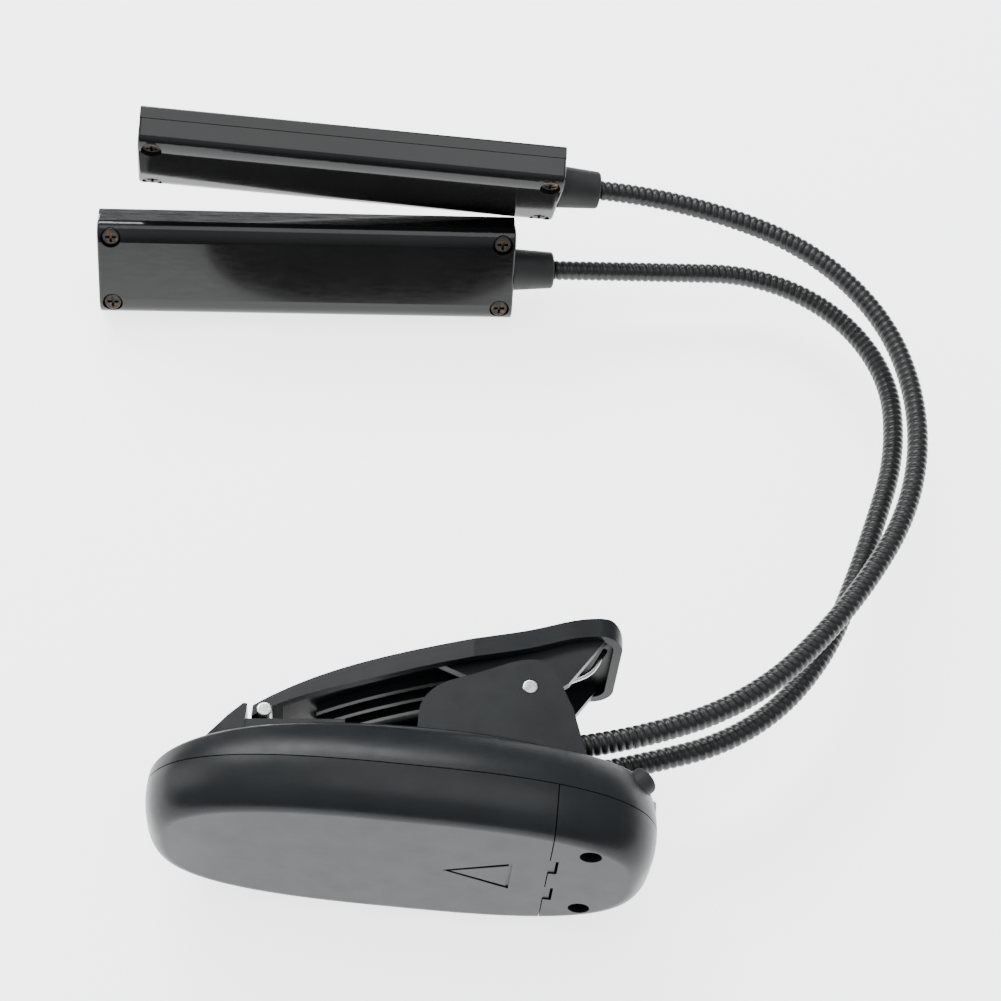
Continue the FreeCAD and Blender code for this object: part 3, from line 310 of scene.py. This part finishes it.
MATERIALS = {make.__name__: make() for make in (
    satin_black, gloss_black, neck_black, soft_black, bright_steel, dark_steel, nickel, board,
    white_board, led, lens, cell, lead)}


CAD_SHARP = 28.0        # degrees: flatter edges are shaded smooth


def finish_cad_nodes():
    """Every carried-over CAD node gets its slot's material and smooth shading."""
    slots = {row["node"]: row["material_slot"] for row in frame["record"]["subparts"]}
    for name, obj in frame["nodes"].items():
        mesh = obj.data
        mesh.polygons.foreach_set("use_smooth", [True] * len(mesh.polygons))
        mesh.set_sharp_from_angle(angle=math.radians(CAD_SHARP))
        for slot in obj.material_slots:
            slot.material = MATERIALS[slots[name]]


finish_cad_nodes()


# ------------------------------------------------------------------ mesh helpers
def new_piece(name, vertices, faces, slot, body=None, replaces=(), sharp=None):
    mesh = bpy.data.meshes.new(name)
    mesh.from_pydata(vertices, [], faces)
    mesh.validate()
    mesh.update()
    obj = bpy.data.objects.new(name, mesh)
    bpy.context.collection.objects.link(obj)
    mesh.materials.append(MATERIALS[slot])
    mesh.polygons.foreach_set("use_smooth", [True] * len(mesh.polygons))
    if sharp is not None:
        mesh.set_sharp_from_angle(angle=math.radians(sharp))
    if body is not None:
        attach(obj, body)
    if replaces:
        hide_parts(*replaces)
    return obj


class Builder:
    """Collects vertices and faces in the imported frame."""

    def __init__(self):
        self.vertices = []
        self.faces = []

    def loop(self, points):
        first = len(self.vertices)
        self.vertices += [tuple(point) for point in points]
        return list(range(first, first + len(points)))

    def bridge(self, low, high):
        count = len(low)
        for i in range(count):
            j = (i + 1) % count
            self.faces.append((low[i], low[j], high[j], high[i]))

    def cap(self, loop, flip=False):
        self.faces.append(tuple(reversed(loop)) if flip else tuple(loop))

    def sweep(self, centres, across, beside, radius_of, sides):
        """A tube: across and beside give each section's two directions, radius_of(k, turn) its radius."""
        loops = []
        for k, (centre, a, b) in enumerate(zip(centres, across, beside)):
            ring = []
            for i in range(sides):
                turn = 2 * math.pi * i / sides
                radius = radius_of(k, turn) * MM
                ring.append(centre + (a * math.cos(turn) + b * math.sin(turn)) * radius)
            loops.append(self.loop(ring))
        for low, high in zip(loops, loops[1:]):
            self.bridge(low, high)
        self.cap(loops[0], flip=True)
        self.cap(loops[-1])


def transported(points):
    """Two directions square to a path at each of its points, without twist."""
    tangents = []
    last = len(points) - 1
    for i in range(len(points)):
        tangents.append((points[min(i + 1, last)] - points[max(i - 1, 0)]).normalized())
    side = tangents[0].orthogonal().normalized()
    across, beside = [], []
    for tangent in tangents:
        side = (side - tangent * side.dot(tangent)).normalized()
        across.append(side)
        beside.append(tangent.cross(side))
    return across, beside


def rounded_path(points, radius, steps=6):
    """A polyline with its corners turned into short curves."""
    smooth = [points[0]]
    for before, corner, after in zip(points, points[1:], points[2:]):
        reach_in = min(radius, (before - corner).length * 0.45)
        reach_out = min(radius, (after - corner).length * 0.45)
        a = corner + (before - corner).normalized() * reach_in
        b = corner + (after - corner).normalized() * reach_out
        for i in range(steps + 1):
            t = i / steps
            smooth.append(a * (1 - t) ** 2 + corner * 2 * t * (1 - t) + b * t ** 2)
    smooth.append(points[-1])
    return smooth


WIRE_DOME_LENGTH, WIRE_DOME_RADIUS = 0.175, 0.32        # shares of the wire's diameter


def wire(builder, points, diameter, sides=14):
    """A round wire along points, its two ends slightly domed."""
    across, beside = transported(points)
    last = len(points) - 1
    dome = WIRE_DOME_LENGTH * diameter * MM
    start = (points[0] - points[1]).normalized() * dome
    stop = (points[last] - points[last - 1]).normalized() * dome
    path = [points[0] + start] + list(points) + [points[last] + stop]
    across = [across[0]] + across + [across[-1]]
    beside = [beside[0]] + beside + [beside[-1]]

    def domed(k, turn):
        return diameter * (WIRE_DOME_RADIUS if k in (0, last + 2) else 0.5)

    builder.sweep(path, across, beside, domed, sides)


# ------------------------------------------------------------------ gooseneck arms
NECK_D = 4.4
NECK_PITCH = 1.5
NECK_GROOVE = 0.46
LEAD_D = 1.3
STEPS_PER_RING = 8
RIDGE_WIDTH = 0.985          # how much of the pitch a ridge's round back takes
NECK_SIDES, LEAD_SIDES = 24, 10
LEAD_STEPS = 2
NECK_PARTS = 8
EXIT_X, EXIT_Y, EXIT_ANGLE, NECK_SPACING = -4.0, 24.3, 16.0, 11.9
NECK_BURIED = 8.0
GROMMET_GAP = 0.3
ARMS = {
    "a": {"side": 1, "lean": ("Y", 3.8),
          "bends": [(10.8, 23.0), (24.1, 28.3), (13.4, 35.2), (20.1, 24.5), (22.2, 25.3),
                    (33.4, 27.3), (23.4, 20.0), (20.7, 35.7)]},
    "b": {"side": -1, "lean": ("X", -2.15),
          "bends": [(6.2, 24.3), (31.9, 26.9), (16.3, 20.2), (4.8, 36.1), (17.4, 22.4),
                    (35.9, 24.0), (57.6, 35.6), (0.3, 36.1)]},
}


class Arm:
    """The centre line of one gooseneck, as the CAD source bends it."""

    def __init__(self, letter):
        facts = ARMS[letter]
        self.letter = letter
        self.origin = place(EXIT_X, EXIT_Y, facts["side"] * NECK_SPACING / 2)
        axis, degrees = facts["lean"]
        self.turn = Matrix.Rotation(math.radians(degrees), 3, axis)
        self.normal = self.turn @ Vector((0, 0, 1))
        self.steps = []
        x, y, heading = 0.0, 0.0, math.radians(EXIT_ANGLE)
        for degrees, length in facts["bends"]:
            self.steps.append((x, y, heading, math.radians(degrees), length))
            x, y, heading = self.along(self.steps[-1], length)
        lengths = [length for degrees, length in facts["bends"]]
        self.marks = [sum(lengths[:i]) for i in range(len(lengths) + 1)]

    def along(self, step, distance):
        x, y, heading, turn, length = step
        radius = length / turn
        end = heading + turn * distance / length
        return (x + radius * (math.sin(end) - math.sin(heading)),
                y - radius * (math.cos(end) - math.cos(heading)), end)

    def at(self, distance):
        """Centre, direction along and direction beside, at a distance in mm from the base."""
        if distance < 0:
            x, y, heading = self.steps[0][:3]
            x, y = x + distance * math.cos(heading), y + distance * math.sin(heading)
        else:
            index = 0
            while index < len(self.steps) - 1 and distance > self.marks[index + 1]:
                index += 1
            x, y, heading = self.along(self.steps[index], distance - self.marks[index])
        centre = self.turn @ Vector((x, y, 0)) * MM + self.origin
        ahead = self.turn @ Vector((math.cos(heading), math.sin(heading), 0))
        return centre, ahead, self.normal.cross(ahead)


def neck_radius(distance, turn):
    """A wound neck: round ridges one pitch apart that climb like a thread."""
    share = (distance / NECK_PITCH - turn / (2 * math.pi)) % 1.0
    ridge = math.sqrt(max(0.0, 1 - (2 * share - 1) ** 2 * RIDGE_WIDTH))
    return NECK_D / 2 - NECK_GROOVE * (1 - ridge)


def neck_length(arm, name, start, stop, lead, sides):
    """One stretch of neck, or of the lead inside it, as a capped tube."""
    steps = LEAD_STEPS if lead else STEPS_PER_RING
    count = max(2, int(round((stop - start) / NECK_PITCH * steps)))
    distances = [start + (stop - start) * i / count for i in range(count + 1)]
    spots = [arm.at(d) for d in distances]
    builder = Builder()

    def radius_of(k, turn):
        return LEAD_D / 2 if lead else neck_radius(distances[k], turn)

    centres, across = [spot[0] for spot in spots], [spot[2] for spot in spots]
    builder.sweep(centres, across, [arm.normal] * len(spots), radius_of, sides)
    return new_piece(name, builder.vertices, builder.faces, "lead" if lead else "neck_black")


def build_arm(letter):
    """Stretches that reach from the middle of one stiff length to the middle of the next."""
    arm = Arm(letter)
    marks = arm.marks
    middles = [(marks[i] + marks[i + 1]) / 2 for i in range(NECK_PARTS)]
    end = marks[NECK_PARTS] - GROMMET_GAP
    bodies = ["base"] + ["arm_%s_%d" % (letter, i + 1) for i in range(1, NECK_PARTS)]
    for lead in (False, True):
        word = "lead" if lead else "neck"
        sides = LEAD_SIDES if lead else NECK_SIDES
        cad = ["arm_%s_lead" % letter if lead else "arm_%s_neck_%d" % (letter, i + 1)
               for i in range(NECK_PARTS)]
        first = neck_length(arm, "%s_%s_first" % (word, letter), -NECK_BURIED, middles[0], lead, sides)
        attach(first, "base")
        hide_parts(cad[0])
        for i in range(NECK_PARTS - 1):
            name = "%s_%s_bend_%d" % (word, letter, i + 1)
            piece = neck_length(arm, name, middles[i], middles[i + 1], lead, sides)
            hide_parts(cad[i + 1])
            reach = min(marks[i + 1] - middles[i], middles[i + 1] - marks[i + 1])
            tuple(arm.at(marks[i + 1] - reach)[0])
            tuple(arm.at(marks[i + 1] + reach)[0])
            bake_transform(piece)
        last = neck_length(arm, "%s_%s_last" % (word, letter), middles[-1], end, lead, sides)
        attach(last, bodies[-1])
        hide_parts(cad[-1])
    return arm


ARM_A = build_arm("a")
ARM_B = build_arm("b")


# ------------------------------------------------------------------ clip
COIL_RADIUS, COIL_WIRE, COIL_HALF_WIDTH = 3.0, 1.1, 5.6
COIL_TURNS = 9.5
STEPS_PER_COIL = 28
FOOT_X, FOOT_Y = -29.0, 20.9
LEG_START_X, LEG_BEND, LEG_END = -0.6, (-1.2, 41.2), (1.2, 46.6)
LEG_BEND_RADIUS = 2.0
COIL_CLEARANCE = 0.05
COIL_PLATING, LEG_PLATING = 0.04, 0.06          # how much thinner the shown wire is


def build_spring():
    """The clip's spring: wound coils, the leg under the coils and the leg that pushes the lever."""
    leg_z = COIL_HALF_WIDTH - COIL_WIRE / 2 - COIL_CLEARANCE
    path = [place(FOOT_X, FOOT_Y, -leg_z)]
    count = int(COIL_TURNS * STEPS_PER_COIL)
    for i in range(count + 1):
        share = i / count
        turn = -math.pi / 2 + 2 * math.pi * COIL_TURNS * share
        x = PIVOT.x + COIL_RADIUS * math.cos(turn)
        y = PIVOT.y + COIL_RADIUS * math.sin(turn)
        path.append(place(x, y, -leg_z + 2 * leg_z * share))
    builder = Builder()
    wire(builder, path, COIL_WIRE - COIL_PLATING)
    new_piece("spring_coils", builder.vertices, builder.faces, "bright_steel", "base", ["torsion_spring"])
    corners = [place(PIVOT.x + LEG_START_X, PIVOT.y + COIL_RADIUS, leg_z), place(*LEG_BEND, leg_z),
               place(*LEG_END, leg_z)]
    builder = Builder()
    wire(builder, rounded_path(corners, LEG_BEND_RADIUS * MM), COIL_WIRE - LEG_PLATING)
    new_piece("spring_lever_leg", builder.vertices, builder.faces, "bright_steel", "lever",
              ["torsion_spring"])


build_spring()


EDGE_ANGLE, EDGE_SEGMENTS = 35.0, 3
ROUNDED = {
    "clip_lever": 0.45, "jaw_plate": 0.3, "neck_holder": 0.3, "jaw_pad": 0.25,
    "head_a_back_housing": 0.8, "head_b_back_housing": 0.8,
    "head_a_bezel": 0.3, "head_b_bezel": 0.3,
    "head_a_grommet": 0.25, "head_b_grommet": 0.25,
}


def round_edges(node, width):
    """A small bevel on a carried-over CAD node's edges, as a moulded part has."""
    obj = frame["nodes"][node]
    bevel = obj.modifiers.new("edge", "BEVEL")
    bevel.width = width * MM
    bevel.segments = EDGE_SEGMENTS
    bevel.limit_method = "ANGLE"
    bevel.angle_limit = math.radians(EDGE_ANGLE)
    bevel.harden_normals = False
    bevel.use_clamp_overlap = True


for node, width in ROUNDED.items():
    round_edges(node, width)


# ------------------------------------------------------------------ small parts
def add_block(builder, mapping, low, high, chamfer):
    """A block between two corners with its upright edges and two rims chamfered."""
    x0, y0, z0 = low
    x1, y1, z1 = high
    c = chamfer
    loops = []
    for y, inset in ((y0, c), (y0 + c, 0.0), (y1 - c, 0.0), (y1, c)):
        left, right, near, far = x0 + inset, x1 - inset, z0 + inset, z1 - inset
        corners = [(left + c, near), (right - c, near), (right, near + c), (right, far - c),
                   (right - c, far), (left + c, far), (left, far - c), (left, near + c)]
        loops.append(builder.loop([mapping(x, y, z) for x, z in reversed(corners)]))
    for lower, upper in zip(loops, loops[1:]):
        builder.bridge(lower, upper)
    builder.cap(loops[0], flip=True)
    builder.cap(loops[-1])


def add_lathe(builder, mapping, profile, sides=32):
    """A turned shape about the mapping's X axis: profile gives (x, radius) from end to end."""
    loops = []
    for x, radius in profile:
        ring = []
        for i in range(sides):
            turn = 2 * math.pi * i / sides
            ring.append(mapping(x, radius * math.cos(turn), radius * math.sin(turn)))
        loops.append(builder.loop(ring))
    for lower, upper in zip(loops, loops[1:]):
        builder.bridge(lower, upper)
    builder.cap(loops[0], flip=True)
    builder.cap(loops[-1])


CELL_Y, CELL_LENGTH, CELL_PITCH = 7.45, 44.5, 10.7
BAY_FRONT, SPRING_ROOM = -61.8, 4.5
CELL_SIDES = 40
SLEEVE = [(0.25, 4.45), (0.1, 4.7), (0.12, 5.0), (0.4, 5.2), (1.2, 5.24), (1.5, 5.19), (1.8, 5.24),
          (41.9, 5.24), (42.4, 5.18), (42.9, 4.9), (43.3, 4.2), (43.35, 3.6)]
CELL_BOTTOM = [(0.0, 3.9), (0.05, 4.2), (0.3, 4.4)]
CELL_TOP = [(43.3, 3.5), (43.4, 2.4), (43.55, 1.95), (44.3, 1.9), (44.46, 1.7)]
CONTACT_TURNS, CONTACT_STEPS, CONTACT_WIRE = 5, 26, 0.5
CONTACT_START, CONTACT_LENGTH = 0.3, 3.5
CONTACT_RADIUS, CONTACT_SPREAD = 1.85, 1.9


def build_cells():
    """The three cells, laid head to tail, with the conical springs that press on them."""
    springs = Builder()
    for index in range(3):
        forward = index % 2 == 0
        sign = 1 if forward else -1
        start = BAY_FRONT + (SPRING_ROOM if forward else CELL_LENGTH)
        z_mid = (index - 1) * CELL_PITCH

        def mapping(x, y, z):
            return place(start + sign * x, CELL_Y + y, z_mid + sign * z)

        sleeve = Builder()
        add_lathe(sleeve, mapping, SLEEVE, CELL_SIDES)
        node = "battery_%d" % (index + 1)
        new_piece("cell_sleeve_%d" % (index + 1), sleeve.vertices, sleeve.faces, "cell", "base",
                  [node], 50)
        ends = Builder()
        add_lathe(ends, mapping, CELL_BOTTOM, CELL_SIDES)
        add_lathe(ends, mapping, CELL_TOP, CELL_SIDES)
        new_piece("cell_ends_%d" % (index + 1), ends.vertices, ends.faces, "nickel", "base", [node], 50)
        path = []
        count = CONTACT_TURNS * CONTACT_STEPS
        for i in range(count + 1):
            share = i / count
            turn = 2 * math.pi * CONTACT_TURNS * share
            radius = CONTACT_RADIUS + CONTACT_SPREAD * share
            x = -CONTACT_START - CONTACT_LENGTH * share
            path.append(mapping(x, radius * math.cos(turn), radius * math.sin(turn)))
        wire(springs, path, CONTACT_WIRE, 8)
    new_piece("contact_spring_coils", springs.vertices, springs.faces, "nickel", "base",
              ["contact_springs"])


build_cells()


BOARD_TOP, CHIP_TOP, SMALL_TOP, PIN_TOP = 10.56, 11.6, 11.1, 10.8
CHIP_FRONT, CHIP_REAR, CHIP_HALF = -1.9, 2.3, 2.1
SMALL_PLACES, SMALL_HALF = (-6.4, 6.4), 0.7
PIN_PLACES, PIN_HALF, PIN_REACH = (-1.5, -0.5, 0.5, 1.5), 0.16, 0.7
CHIP_GAP = 0.02


def build_board_parts():
    """The small components on the base's circuit board."""
    chips = Builder()
    add_block(chips, place, (CHIP_FRONT, BOARD_TOP, -CHIP_HALF), (CHIP_REAR, CHIP_TOP, CHIP_HALF), 0.12)
    for z in SMALL_PLACES:
        add_block(chips, place, (0.6, BOARD_TOP, z - SMALL_HALF), (2.4, SMALL_TOP, z + SMALL_HALF), 0.1)
    new_piece("board_chips", chips.vertices, chips.faces, "soft_black", "base", sharp=30)
    pins = Builder()
    for z in PIN_PLACES:
        for low, high in ((CHIP_FRONT - PIN_REACH, CHIP_FRONT - CHIP_GAP),
                          (CHIP_REAR + CHIP_GAP, CHIP_REAR + PIN_REACH)):
            add_block(pins, place, (low, BOARD_TOP, z - PIN_HALF), (high, PIN_TOP, z + PIN_HALF), 0.04)
    new_piece("board_pins", pins.vertices, pins.faces, "nickel", "base", sharp=30)


build_board_parts()


HEAD_LEAN = {"a": -17.8, "b": 21.7}
LED_FIRST, LED_LAST, LED_COUNT, LED_FACE = 20.9, 88.7, 10, -0.85
LED_HALF, LED_DEPTH = 1.5, 0.72
LED_WINDOW = [(0.0, 1.2), (0.06, 1.19), (0.12, 1.0), (0.16, 0.6), (0.17, 0.2)]


def build_leds(arm):
    """Each light-emitting package: a white body with a shallow phosphor window."""
    centre, ahead, beside = arm.at(arm.marks[8])
    lean = math.radians(HEAD_LEAN[arm.letter])
    across = arm.normal
    back = across.cross(ahead)

    def mapping(x, y, z):
        up = y * math.cos(lean) - z * math.sin(lean)
        side = y * math.sin(lean) + z * math.cos(lean)
        return centre + (ahead * x + back * up + across * side) * MM

    bodies, windows = Builder(), Builder()
    for index in range(LED_COUNT):
        x_mid = LED_FIRST + (LED_LAST - LED_FIRST) * index / (LED_COUNT - 1)
        add_block(bodies, mapping, (x_mid - LED_HALF, LED_FACE - LED_DEPTH, -LED_HALF),
                  (x_mid + LED_HALF, LED_FACE, LED_HALF), 0.1)

        def turned(x, y, z):
            return mapping(x_mid + y, LED_FACE - LED_DEPTH - 0.01 - x, z)

        add_lathe(windows, turned, LED_WINDOW, 20)
    node = "head_%s_leds" % arm.letter
    body = "head_" + arm.letter
    new_piece("led_bodies_" + arm.letter, bodies.vertices, bodies.faces, "white_board", body, [node], 30)
    new_piece("led_windows_" + arm.letter, windows.vertices, windows.faces, "led", body, [node])


build_leds(ARM_A)
build_leds(ARM_B)


# ------------------------------------------------------------------ floor and light
FLOOR_REACH, FLOOR_DROP, FLOOR_GLOW = 3.0, 0.0002, 2.7
LIGHTS = (                  # name, place, width, height and power, each aimed at the origin
    ("key", (-0.35, 0.62, 0.80), 0.8, 0.35, 13.0),
    ("side", (-0.95, 0.05, 0.45), 0.5, 0.7, 4.0),
    ("top", (0.15, -0.05, 1.3), 0.8, 0.8, 5.0),
)
SKY_LOW, SKY_HIGH, SKY_STRENGTH = (0.14, 0.15, 0.17, 1.0), (0.92, 0.96, 1.0, 1.0), 0.95


def make_stage():
    """A white table that glows like a light box."""
    mesh = bpy.data.meshes.new("floor")
    corners = [(-1, -1), (1, -1), (1, 1), (-1, 1)]
    mesh.from_pydata([(x * FLOOR_REACH, y * FLOOR_REACH, 0) for x, y in corners], [], [(0, 1, 2, 3)])
    floor = bpy.data.objects.new("floor", mesh)
    bpy.context.collection.objects.link(floor)
    floor.location.z = -FLOOR_DROP
    s = Shader("floor")
    s.set(Specular_IOR_Level=0.2)
    s.colour(s.noise(6, 2), [(0.3, grey(0.90)), (0.7, grey(0.92))])
    s.set(Emission_Color=(1.0, 1.0, 1.0, 1.0), Emission_Strength=FLOOR_GLOW)
    s.rough(s.noise(30, 2), 0.65, 0.75)
    mesh.materials.append(s.material)


def make_light(name, spot, width, height, power):
    data = bpy.data.lights.new(name, "AREA")
    data.shape = "RECTANGLE"
    data.size = width
    data.size_y = height
    data.energy = power
    light = bpy.data.objects.new(name, data)
    bpy.context.collection.objects.link(light)
    light.location = spot
    light.rotation_euler = (-Vector(spot)).to_track_quat("-Z", "Y").to_euler()


def make_sky(world):
    """A dim room: darker at the horizon than overhead."""
    world.use_nodes = True
    nodes, links = world.node_tree.nodes, world.node_tree.links
    spot = nodes.new("ShaderNodeTexCoord")
    split = nodes.new("ShaderNodeSeparateXYZ")
    ramp = nodes.new("ShaderNodeValToRGB")
    ramp.color_ramp.elements[0].position = 0.15
    ramp.color_ramp.elements[0].color = SKY_LOW
    ramp.color_ramp.elements[1].position = 0.75
    ramp.color_ramp.elements[1].color = SKY_HIGH
    links.new(spot.outputs["Generated"], split.inputs["Vector"])
    links.new(split.outputs["Z"], ramp.inputs["Fac"])
    links.new(ramp.outputs["Color"], nodes["Background"].inputs["Color"])
    nodes["Background"].inputs["Strength"].default_value = SKY_STRENGTH


make_stage()
for facts in LIGHTS:
    make_light(*facts)
world = bpy.data.worlds.new("world")
make_sky(world)
bpy.context.scene.world = world
